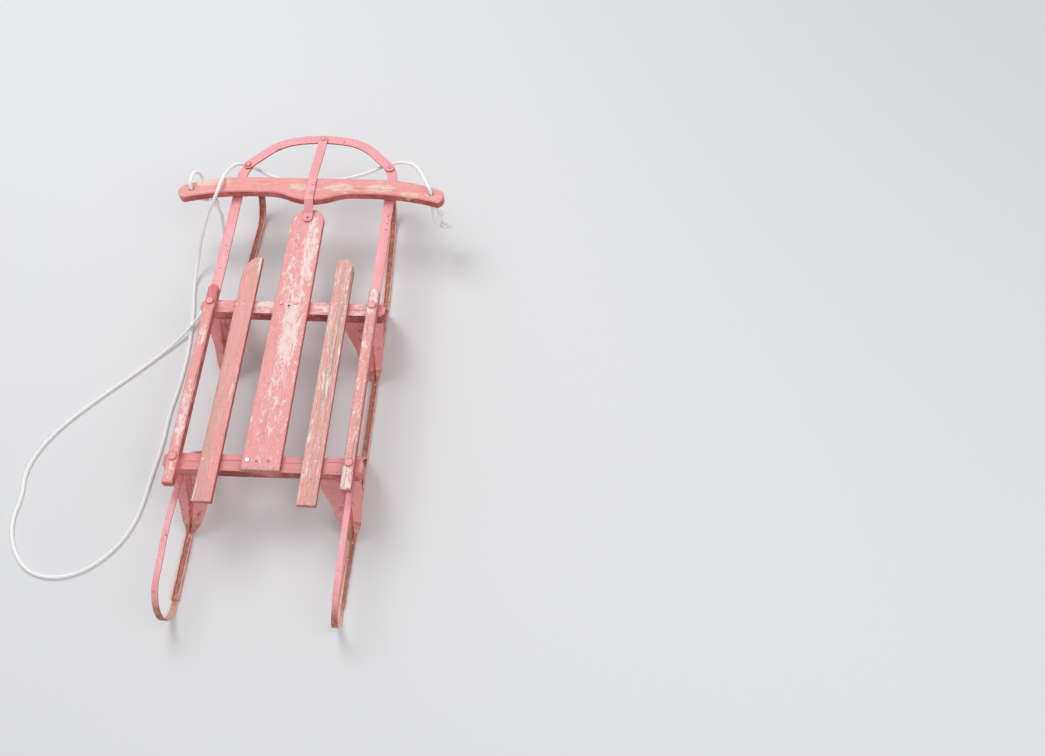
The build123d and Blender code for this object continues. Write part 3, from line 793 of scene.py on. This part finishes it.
# The near-black spot near the board's front is painted shade in a hole
wood_node("centre_board", "Y", worn=0.2, bare=0.0, cracks=0.1, seed=1.3,
          places=rubs(0.136, (0.015, 0.2, 0.016, 0.11, 0.32), (0.006, 0.02, 0.024, 0.12, 0.3),
                      (-0.012, 0.13, 0.014, 0.1, 0.16), (0, -0.12, 0.03, 0.08, 0.1)),
          bare_places=[((0, -0.258, 0.136), (0.06, 0.01, 0.03), 0.4)],
          marks=[((-0.004, 0.071, DECK_TOP), (0.0034, 0.0034, 0.003), 1.0, BOARD_HOLE_SHADE)])
wood_node("left_rail", "Y", worn=0.17, bare=0.1, deep=0.45, seed=5.7,
          places=rubs(0.142, (-0.149, -0.15, 0.012, 0.1, 0.24), (-0.149, 0, 0.012, 0.03, 0.2)),
          marks=[((-0.149, 0.098, 0.142), (0.016, 0.048, 0.03), 0.6, RAIL_TIP)] + bolt_rings(-1))
wood_node("right_rail", "Y", worn=0.24, bare=0.14, grey=0.55, seed=6.9,
          places=rubs(0.142, (0.149, 0.09, 0.012, 0.05, 0.3), (0.149, -0.27, 0.012, 0.04, 0.3)),
          marks=bolt_rings(1))
wood_node("front_bench", "X", worn=0.2, bare=0.04, deep=0.5, side=BENCH_SIDE_SHADE, seed=8.3,
          places=rubs(0.126, (-0.05, 0.0725, 0.03, 0.03, 0.24), (0.05, 0.0725, 0.03, 0.03, 0.16),
                      (0.125, 0.0725, 0.02, 0.03, 0.18)))
# Cracks in the rear bench: place, half sizes and strength
REAR_CRACKS = ((-0.058, -0.2385, 0.045, 0.0009, 0.8), (-0.125, -0.2425, 0.022, 0.0008, 0.7),
               (0.052, -0.2395, 0.03, 0.0008, 0.7), (0.123, -0.236, 0.024, 0.0009, 0.7))
wood_node("rear_bench", "X", worn=0.08, bare=0.05, deep=0.5, tone=BENCH_PINK, side=BENCH_SIDE_SHADE, seed=9.1,
          marks=[((x, y, BENCH_TOP), (wide, thin, 0.004), gain, CRACK) for x, y, wide, thin, gain in REAR_CRACKS])
wood_node("steering_bar", "X", worn=0.17, bare=0.05, deep=0.25, flake=TAN_WORN, cracks=0.25, seed=10.7,
          places=rubs(0.153, (-0.215, 0.342, 0.03, 0.014, 0.42), (-0.19, 0.344, 0.04, 0.014, 0.42),
                      (0.055, 0.335, 0.035, 0.014, 0.34), (0.133, 0.336, 0.04, 0.014, 0.36),
                      (0.193, 0.3205, 0.03, 0.012, 0.3), (-0.02, 0.335, 0.04, 0.012, 0.22)))


# Slats: planks whose front tips are rounded off on the outer side. Tip rows: place on Y and width left, in millimetres
SLAT_TIPS = {
    "left": ((138, 33), (148, 31.5), (157, 29), (165, 25), (171, 20.5), (175.5, 15.5), (178, 11)),
    "right": ((153, 33), (161, 31.5), (168, 28.5), (173, 24.5), (176.5, 20), (178, 16)),
}


def slat_plank(word, side):
    low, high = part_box(word + "_slat")
    inner = low.x if side > 0 else high.x
    middle = (low + high) / 2
    rear = (middle.x, low.y, middle.z)
    plank = start_from("plane", word + "_slat_plank", rear, UPRIGHT, size=1)
    edit(plank)
    widen((high.x - low.x, 1, high.z - low.z), rear)
    at, wide = low.y, high.x - low.x
    for y, left in tuple((y, 33) for y in (-250, -150, -50, 50)) + SLAT_TIPS[word]:
        extrude((0, y * MM - at, 0))
        widen((left * MM / wide, 1, 1), (inner, y * MM, middle.z))
        at, wide = y * MM, left * MM
    leave()
    soften(plank, 0.0011, 3)
    return plank


SLAT_WEAR = {
    "left": dict(worn=0.12, bare=0.18, grey=0.6, cracks=0.15, seed=3.4),
    "right": dict(worn=0.24, bare=0.24, grey=1.0, cracks=0.6, seed=4.1),
}
for word, side in SIDES:
    plank = slat_plank(word, side)
    middle, half = block(word + "_slat")
    wear(plank, painted_wood(word + "_slat_paint", "Y", middle, half, long=0.35, **SLAT_WEAR[word]))
    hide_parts(word + "_slat")
    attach(plank, "sled")

# Steel
# Dark rings round the rivets: node, reach and strength
RIVET_RINGS = (("left_bow_rivet", 0.0098, 1.0), ("bow_pin", 0.0085, 0.6), ("right_bow_rivet", 0.0064, 0.4))
STRAP_RIVETS = (("strap_rivet_front", 4.4, 341.0), ("strap_rivet_rear", 3.6, 317.6))
BAR_STRAP_TOP = 0.156
# Scuffs on the bow and the arms: place and reach in millimetres
SCUFFS = (
    (41.9, 467.6, 1.3, 5), (44, 470, 3.6, 1.4), (-88, 446.8, 4.6, 1.4), (-84.5, 449, 1.4, 2.6),
    (153.2, 292, 3.4, 1.5), (152, 286, 1.4, 5.4), (153.8, 277.5, 3.8, 1.4), (152.2, 269, 1.5, 4.2),
    (153, 254, 2.1, 2.1), (-147, 207, 2, 2), (-143, 195, 1.8, 1.8), (-149.5, 156, 2, 2),
)
FLAT_STEEL = painted_steel("painted_flat_steel", chips=0.02, marks=[
    (block(name)[0], (reach, reach, 0.02), gain, RIVET_SHADE) for name, reach, gain in RIVET_RINGS] + [
    ((x * MM, y * MM, BAR_STRAP_TOP), (0.0066, 0.0066, 0.004), 0.5, RIVET_SHADE) for name, x, y in STRAP_RIVETS] + [
    ((x * MM, y * MM, 0.131), (wide * MM, long * MM, 0.008), 0.85, SCUFF) for x, y, wide, long in SCUFFS])
RUNNER_STEEL = painted_steel("painted_runner_steel", rust=0.06, chips=0.05, groove=0.55, rust_places=[
    ((-0.144, -0.487, 0.02), (0.02, 0.03, 0.035), 0.12), ((0.144, -0.487, 0.02), (0.02, 0.03, 0.035), 0.16),
    ((-0.139, 0.385, 0.05), (0.02, 0.06, 0.055), 0.4), ((0.139, 0.385, 0.05), (0.02, 0.06, 0.055), 0.22)],
    marks=[((-0.144, -0.478, 0.012), (0.03, 0.04, 0.034), 0.65, TAN_STEEL),
           ((0.144, -0.478, 0.016), (0.03, 0.04, 0.04), 0.7, TAN_STEEL)])
KNEE_STEEL = painted_steel("painted_knee_steel", rust=0.03, tone=KNEE_LIT_PINK, side=KNEE_SIDE_SHADE, deep=0.5, chips=0.03,
                           foot=0.42, grime_and_shade=0.55)
BOLT_STEEL = painted_steel("painted_bolt_heads", rust=0.08, tone=HEAD_PINK, deep=0.6, chips=0.1)
ZINC = zinc_paint()
for name in ("bow", "strap"):
    paint_node(name, FLAT_STEEL)

# Runners: a grooved strip, open upwards, with a loop at each end
STRIP_HIGH = 0.006
GROOVE_WIDE = 0.009
GROOVE_FLOOR = 0.0025
STRIP_ROWS = (0.165, 0.0, -0.15, -0.3, -0.345, -0.38, -0.415)
FRONT_ROWS = (0.19, 0.2, 0.215, 0.24, 0.29)
# Rear loop, seen from the side: where the groove ends and the ground run turns up, how far and how tightly it turns
# first, the rows of the top run and its width
GROOVE_END = -0.444
TURN_START = -0.452
FIRST_TURN = math.radians(60)
FIRST_RADIUS = 0.036
TOP_ROWS = (-0.404, -0.374, -0.345, -0.315, -0.285, -0.246)
TONGUE_WIDE = 0.0108
# Front loop: where it starts, and its tab over to the arm
FRONT_LOOP_Y = 0.345
TAB_END = 0.332
TAB_REACH = 0.0218


def groove_section(name, x, y):
    """Upright U of faces in the XZ plane."""
    middle = (x, y, STRIP_HIGH / 2)
    strip = start_from("grid", name, middle, UPRIGHT, x_subdivisions=3, y_subdivisions=2, size=1)
    edit(strip)
    widen((STRIP_WIDE, 1, STRIP_HIGH), middle)
    for sign in (-1, 1):
        pick(strip, lambda p: 0 < sign * (p.x - x) < STRIP_WIDE / 3, "VERT")
        shift((sign * (GROOVE_WIDE / 2 - STRIP_WIDE / 6), 0, 0))
    pick(strip, lambda p: abs(p.z - STRIP_HIGH / 2) < STRIP_HIGH / 3, "VERT")
    shift((0, 0, GROOVE_FLOOR - STRIP_HIGH / 2))
    pick(strip, lambda c, n: abs(c.x - x) < GROOVE_WIDE / 3 and c.z > STRIP_HIGH / 2)
    bpy.ops.mesh.delete(type="FACE")
    return strip


def runner_strip(name):
    """The right runner, straight. The groove stops short of the rear loop, which is flat strip."""
    x = RUNNER_X
    rear_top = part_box("right_runner")[1].z
    front_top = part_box("right_runner_front")[1].z
    strip = groove_section(name, x, FLEX_Y)
    pick(strip, lambda c, n: True)
    draw_out(FLEX_Y, STRIP_ROWS + (GROOVE_END,))
    pick(strip, lambda c, n: abs(c.y - GROOVE_END) < 1e-5 and n.y < -0.9 and c.z < GROOVE_FLOOR)
    extrude((0, -0.001, 0))
    widen((TONGUE_WIDE / STRIP_WIDE, 1, 1), (x, GROOVE_END, 0))
    extrude((0, TURN_START - GROOVE_END + 0.001, 0))
    bpy.ops.mesh.spin(steps=10, angle=FIRST_TURN, center=(x, TURN_START, FIRST_RADIUS), axis=(1, 0, 0))
    rise = FIRST_RADIUS * (1 - math.cos(FIRST_TURN))
    radius = (rear_top - rise) / (1 + math.cos(FIRST_TURN))
    turn_y = TURN_START - (FIRST_RADIUS - radius) * math.sin(FIRST_TURN)
    turn_z = rise + radius * math.cos(FIRST_TURN)
    bpy.ops.mesh.spin(steps=18, angle=math.pi - FIRST_TURN, center=(x, turn_y, turn_z), axis=(1, 0, 0))
    draw_out(turn_y, TOP_ROWS)
    pick(strip, lambda c, n: abs(c.y - FLEX_Y) < 1e-5 and abs(n.y) > 0.9)
    draw_out(FLEX_Y, FRONT_ROWS + (FRONT_LOOP_Y,))
    bpy.ops.mesh.spin(steps=32, angle=-math.pi, center=(x, FRONT_LOOP_Y, front_top / 2), axis=(1, 0, 0))
    floor_z = front_top - GROOVE_FLOOR / 2
    pick(strip, lambda c, n: abs(c.y - FRONT_LOOP_Y) < 1e-4 and abs(c.z - floor_z) < 0.0008 and abs(n.y) > 0.9)
    extrude((0, TAB_END - FRONT_LOOP_Y, 0))
    pick(strip, lambda c, n: n.x > 0.9 and TAB_END < c.y < FRONT_LOOP_Y and c.z > front_top - 0.003)
    extrude((TAB_REACH, 0, 0))
    pick(strip, lambda p: p.y > FLEX_Y + 1e-5, "VERT")
    bpy.ops.transform.rotate(value=-TOE_IN, orient_axis="Z", center_override=(x, FLEX_Y, 0))
    leave()
    return strip


# How far the bent old runners stand off their line, in millimetres: along the ground, up the loop and along its top
RUNNER_BENDS = {
    "left": (((-444, 0), (0, 0)),
             ((5, 0), (60, 0), (102, -1.0)),
             ((-434, -1.0), (-404, -1.8), (-355, -4.0), (-302, -1.5), (-250, 0))),
    "right": (((-444, -5), (-415, -4.8), (-345, -2.5), (-300, 0)),
              ((5, -5), (28, -3.5), (60, 1.0), (86, 4.5), (102, 6)),
              ((-434, 6), (-374, 5.5), (-275, 5.0), (-246, 5.0))),
}


def runner_bend(word, p):
    ground, up, top = RUNNER_BENDS[word]
    if p.y > -0.2:
        return 0.0
    if p.z < 0.007 and p.y > TURN_START:
        return between(ground, p.y / MM) * MM
    if p.z > 0.095 and p.y > -0.434:
        return between(top, p.y / MM) * MM
    return between(up, p.z / MM) * MM


strips = {"right": runner_strip("right_runner_strip")}
strips["left"] = copy_of(strips["right"], "left_runner_strip", mirror=True)
for word, strip in strips.items():
    lean(strip, lambda p: runner_bend(word, p))
    soften(strip, 0.0005)
    wear(strip, RUNNER_STEEL)
    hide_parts(word + "_runner", word + "_runner_front")
    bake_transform(strip)


# Arms: flat strip steel from under each rail to the bow, bent inwards at the front
ARM_WIDE = 0.0195
ARM_ROWS = (0.11, 0.125, 0.14, 0.155, 0.17, 0.185, 0.2, 0.215, 0.23, 0.245, 0.3)
ARM_BEND_Y = 0.376
ARM_BEND = math.radians(30)
ARM_BEND_RADIUS = 0.06


def steel_arm(name):
    low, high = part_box("right_arm_root")
    thick = high.z - BENCH_TOP
    x = RAIL_X
    rear = (x, low.y, BENCH_TOP + thick / 2)
    arm = start_from("plane", name, rear, UPRIGHT, size=1)
    edit(arm)
    widen((ARM_WIDE, 1, thick), rear)
    draw_out(low.y, ARM_ROWS + (ARM_BEND_Y,))
    bend_x = x - ARM_BEND_RADIUS
    bpy.ops.mesh.spin(steps=8, angle=-ARM_BEND, center=(bend_x, ARM_BEND_Y, 0), axis=(0, 0, 1))
    outwards = Vector((math.cos(ARM_BEND), math.sin(ARM_BEND), 0))
    ahead = Vector((-outwards.y, outwards.x, 0))
    extrude(tuple(ahead * (ARM_WIDE / 2)))
    end = Vector((bend_x, ARM_BEND_Y, 0)) + outwards * ARM_BEND_RADIUS + ahead * (ARM_WIDE / 2)

    def upright_end(a, b):
        return abs(a.z - b.z) > 0.002 and all(abs((p - end).dot(ahead)) < 0.0005 for p in (a, b))
    pick(arm, upright_end, "EDGE")
    bpy.ops.mesh.bevel(offset=ARM_WIDE / 2 - 0.00005, segments=7, affect="EDGES")
    leave()
    soften(arm, 0.0006)
    return arm


arms = {"right": steel_arm("right_steel_arm")}
arms["left"] = copy_of(arms["right"], "left_steel_arm", mirror=True)
for word, arm in arms.items():
    wear(arm, FLAT_STEEL)
    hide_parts(word + "_arm_root", word + "_arm")
    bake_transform(arm)


# Knees: pressed sheet, one strip that runs up a leg, over the saddle and down the other, with a pressed bead.
# Rows up a leg: height out of 100, how far the sheet reaches inwards and outwards from the runner, how far behind
# the middle the rear leg stands, how far ahead the front leg, which bulges, and how far that one reaches in and out
KNEE_ROWS = (
    (0, 4.3, 4.3, 83, 74, 4.3, 4.3),
    (3, 6.5, 4.6, 81.5, 74, 4.4, 4.4),
    (6, 10.4, 5.9, 79.5, 74, 4.5, 4.8),
    (11, 15, 6.9, 76, 73, 5, 5.6),
    (16, 18, 8.2, 72.5, 71, 5.6, 6.6),
    (22, 21.2, 10.5, 68.5, 68, 6.5, 7.6),
    (30, 25.3, 12.5, 62.8, 64, 8, 8.6),
    (42, 31, 13.4, 54.5, 58, 11, 9.6),
    (58, 37, 14.8, 43, 49, 17, 10.4),
    (78, 46.8, 18, 29, 36, 30, 11.5),
    (90, 51.5, 20.2, 20.5, 25, 44, 14),
    (100, 57, 21, 13.5, 13.5, 57, 21),
)
# The legs lean to the right half way up: height and way in millimetres
KNEE_LEAN = ((4, 0), (17, 3.0), (37, 4.3), (60, 4.4), (84, 2.2), (104, 0))
# Lines of the bead across the sheet, and how deep each pair of them is pressed
BEAD_SPREADS = (-0.0115, -0.0072, -0.003, 0.003, 0.0072, 0.0115)
BEAD_DEPTHS = ((0.004, (-0.003, 0.003)), (-0.0014, (-0.0072, 0.0072)))
KNEE_LOW = 0.0028
KNEE_FOOT = (0.0895, KNEE_LOW, 0.0043, 0.0043)
SHEET = 0.0016


def steel_knee(name, top):
    """A knee of the right side, with its foot at x 0 and its middle at y 0."""
    rise = top - SHEET / 2 - KNEE_LOW
    rear = [(-KNEE_FOOT[0],) + KNEE_FOOT[1:]]
    front = [KNEE_FOOT]
    for z, inner, outer, behind, ahead, front_inner, front_outer in KNEE_ROWS:
        height = KNEE_LOW + z / 100 * rise
        rear.append((-behind * MM, height, inner * MM, outer * MM))
        front.append((ahead * MM, height, front_inner * MM, front_outer * MM))
    rows = rear + front[::-1]
    here = rows[0]
    half = 0.005
    knee = start_from("plane", name, (0, here[0], here[1]), UPRIGHT, size=2 * half)
    pick(knee, lambda p: p.z > here[1], "VERT")
    bpy.ops.mesh.delete(type="VERT")
    pick(knee, lambda p: True, "VERT")
    shift((0, 0, half))
    left, right = -half, half
    for row in rows:
        if row is not rows[0]:
            extrude((0, row[0] - here[0], row[1] - here[1]))
        middle = (left + right) / 2
        wide = (row[3] + row[2]) / (right - left)
        widen((wide, 1, 1), (middle, row[0], row[1]))
        left, right = -row[2], row[3]
        shift(((left + right) / 2 - middle, 0, 0))
        here = row

    def bead_line(spread):
        foot_x = spread * 0.22
        return foot_x, (spread - 0.011 - foot_x) / (top - KNEE_LOW)
    for spread in BEAD_SPREADS:
        edit(knee)
        foot_x, slant = bead_line(spread)
        bpy.ops.mesh.bisect(plane_co=(foot_x, 0, KNEE_LOW), plane_no=(1, 0, -slant))
    for depth, spreads in BEAD_DEPTHS:
        for spread in spreads:
            foot_x, slant = bead_line(spread)
            for sign in (-1, 1):
                def on_line(p):
                    up = p.z - KNEE_LOW
                    return abs(p.x - foot_x - slant * up) < 0.00015 and sign * p.y > 0.012 and up > 0.04 * top
                pick(knee, on_line, "VERT")
                shift((0, -sign * depth * 0.86, -depth * 0.5))
    leave()
    return knee


for end, y in ENDS:
    pattern = steel_knee(end + "_knee_pattern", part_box("right_" + end + "_knee")[1].z)
    for word, side in SIDES:
        knee = copy_of(pattern, word + "_" + end + "_pressed_knee", (RUNNER_X, y, 0), mirror=side < 0)
        lean(knee, lambda p: between(KNEE_LEAN, p.z / MM) * MM)
        shell = knee.modifiers.new("sheet", "SOLIDIFY")
        shell.thickness = SHEET
        shell.offset = 0
        apply_all(knee)
        soften(knee, 0.0005)
        wear(knee, KNEE_STEEL)
        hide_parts(word + "_" + end + "_knee")
        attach(knee, "sled")
    bpy.data.objects.remove(pattern)


# Bolts, rivets and nails
def domed_head(name, place, radius, rise, stem, stem_radius, nut=None):
    """A low dome on a stem. place is the middle of its seat; nut gives a hexagon's radius, height and lower face."""
    x, y, z = place
    head = start_from("cylinder", name, (x, y, z + rise * 0.3), vertices=28, radius=radius, depth=rise * 0.6)
    pick(head, lambda c, n: n.z > 0.9)
    for shrink, lift in ((0.1, 0.24), (0.22, 0.12), (0.26, 0.04)):
        bpy.ops.mesh.inset(thickness=radius * shrink, depth=0)
        shift((0, 0, rise * lift))
    pick(head, lambda c, n: n.z < -0.9)
    bpy.ops.mesh.inset(thickness=radius - stem_radius, depth=0)
    extrude((0, 0, -stem))
    leave()
    if nut:
        wide, high, low = nut
        choose(head, start_from("cylinder", name + "_nut", (x, y, low + high / 2), vertices=6, radius=wide, depth=high))
        bpy.ops.object.join()
    soften(head, 0.0003)
    return head


def fit(piece, material, body, *nodes):
    wear(piece, material)
    if nodes:
        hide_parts(*nodes)
    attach(piece, body)


for end, y in ENDS:
    low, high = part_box("right_" + end + "_bolt")
    bolt = domed_head("right_" + end + "_rail_bolt", (RAIL_X, y, RAIL_TOP), 0.0068, high.z - RAIL_TOP,
                      RAIL_TOP - low.z - 0.001, 0.003, nut=(0.0055, 0.0045, low.z))
    for word, piece in (("right", bolt), ("left", copy_of(bolt, "left_" + end + "_rail_bolt", mirror=True))):
        fit(piece, BOLT_STEEL, "sled", word + "_" + end + "_bolt")

# Rivets of the front gear: node that each stands for, head radius and rise in millimetres, finish, body
for node_name, radius, rise, material, body in (
        ("left_bow_rivet", 4.6, 1.9, BOLT_STEEL, "left_front"),
        ("right_bow_rivet", 4.0, 0.5, FLAT_STEEL, "right_front"),
        ("bow_pin", 4.8, 1.8, BOLT_STEEL, "front_bow")):
    low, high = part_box(node_name)
    x, y = (low.x + high.x) / 2, (low.y + high.y) / 2
    seat = high.z - 0.002
    head = domed_head(node_name + "_head", (x, y, seat - 0.0003), radius * MM, rise * MM, seat - low.z - 0.0005, 0.0022)
    fit(head, material, body, node_name)

# The tongue's rivet is hollow, with painted shade in its hole
low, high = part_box("tongue_bolt")
TONGUE_STEEL = painted_steel("painted_tongue_rivet", rust=0.05, marks=[
    ((0, TONGUE_Y, high.z - 0.002), (0.0027, 0.0027, 0.006), 1.0, RIVET_HOLE_SHADE)])
hollow = domed_head("tongue_hollow_rivet", (0, TONGUE_Y, high.z - 0.0023), 0.005, 0.0012,
                    high.z - low.z - 0.003, 0.0024)
pick(hollow, lambda c, n: n.z > 0.95 and math.hypot(c.x, c.y - TONGUE_Y) < 0.001)
bpy.ops.mesh.inset(thickness=0.0001, depth=-0.0015)
leave()
fit(hollow, TONGUE_STEEL, "sled", "tongue_bolt")


def studs(rows, radius, rise, z, stem_radius, material, body):
    """Copies of one small head, at the name and place of each row."""
    pattern = domed_head("stud_pattern", (0, 0, z), radius * MM, rise * MM, 0.004, stem_radius)
    for name, x, y in rows:
        fit(copy_of(pattern, name, (x * MM, y * MM, 0)), material, body)
    bpy.data.objects.remove(pattern)


studs(STRAP_RIVETS, 3.6, 0.7, BAR_STRAP_TOP, 0.0015, BOLT_STEEL, "steering_lever")

# Nail heads on the deck: radius and rise in millimetres, finish, and each nail's name and place in millimetres
NAIL_STEEL = painted_steel("painted_nail_heads", rust=0.06, tone=NAIL_PINK, deep=0.3, chips=0.1)
RUSTY_NAIL = painted_steel("rusty_nail_heads", rust=0.45, tone=NAIL_RUST, chips=0.1)
DECK_NAILS = (
    (3.8, 1.7, NAIL_STEEL, (("board_front_nail_left", -19, 76), ("board_front_nail_right", 8, 77))),
    (4.2, 1.6, ZINC, (("board_rear_nail_left", -24, -241),)),
    (2.4, 0.6, RUSTY_NAIL, (("board_rear_nail_middle", -8, -243), ("board_rear_nail_right", 12, -242))),
    (3.0, 0.7, NAIL_STEEL, (
        ("left_slat_front_nail_a", -100, 71), ("left_slat_front_nail_b", -88, 71),
        ("left_slat_rear_nail_a", -99, -242.5), ("left_slat_rear_nail_b", -83, -246),
        ("right_slat_front_nail_a", 82, 77), ("right_slat_front_nail_b", 92, 80),
        ("right_slat_rear_nail_a", 81, -230), ("right_slat_rear_nail_b", 92.5, -239))),
)
for radius, rise, material, nails in DECK_NAILS:
    studs(nails, radius, rise, DECK_TOP, 0.0012, material, "sled")


# Studio: a floor whose glow rises far away, painted light that makes it paler there, two soft lamps, and a sky that
# shows paler than it lights
FLOOR_SIZE = 12
FLOOR_GLOW = (0.9, 5.6, 0.0, 0.4)
LAMPS = (("key_softbox", (-0.9, 1.2, 2.6), 37), ("fill_softbox", (1.4, -0.8, 2.0), 14))
LAMP_SIZE = 1.6
SKY_LIGHT = 0.53
SKY_SHOWN = 0.86


def add_floor():
    floor = start_from("plane", "studio_floor", (0, 0, -0.0005), size=FLOOR_SIZE)
    material, tree, shader, place = surface("studio_floor")
    glow = ramp(tree, how_far(tree, place), *FLOOR_GLOW)
    feed(tree, shader, {"Base Color": FLOOR_PALE, "Roughness": 0.9, "Emission Strength": glow, "Emission Color": WHITE})
    wear(floor, material)


def add_lamp(name, place, power):
    lamp = add_object(name, bpy.data.lights.new(name, "AREA"))
    lamp.data.shape = "DISK"
    lamp.data.size = LAMP_SIZE
    lamp.data.energy = power
    lamp.location = place
    lamp.rotation_euler = (-Vector(place)).to_track_quat("-Z", "Y").to_euler()


def add_world():
    world = bpy.data.worlds.new("studio")
    bpy.context.scene.world = world
    world.use_nodes = True
    tree = world.node_tree
    tree.nodes.clear()
    path = node(tree, "LightPath", {}).outputs
    mirrored = calc(tree, "MAXIMUM", path["Is Glossy Ray"], path["Is Transmission Ray"])
    seen = calc(tree, "MAXIMUM", path["Is Camera Ray"], mirrored)
    sky = node(tree, "Background", {"Color": WHITE, "Strength": SKY_LIGHT})
    shown = node(tree, "Background", {"Color": WHITE, "Strength": SKY_SHOWN})
    both = node(tree, "MixShader", {0: seen, 1: sky.outputs[0], 2: shown.outputs[0]})
    node(tree, "OutputWorld", {"Surface": both.outputs[0]})


add_floor()
for lamp in LAMPS:
    add_lamp(*lamp)
add_world()
bpy.context.scene.view_settings.view_transform = "Standard"
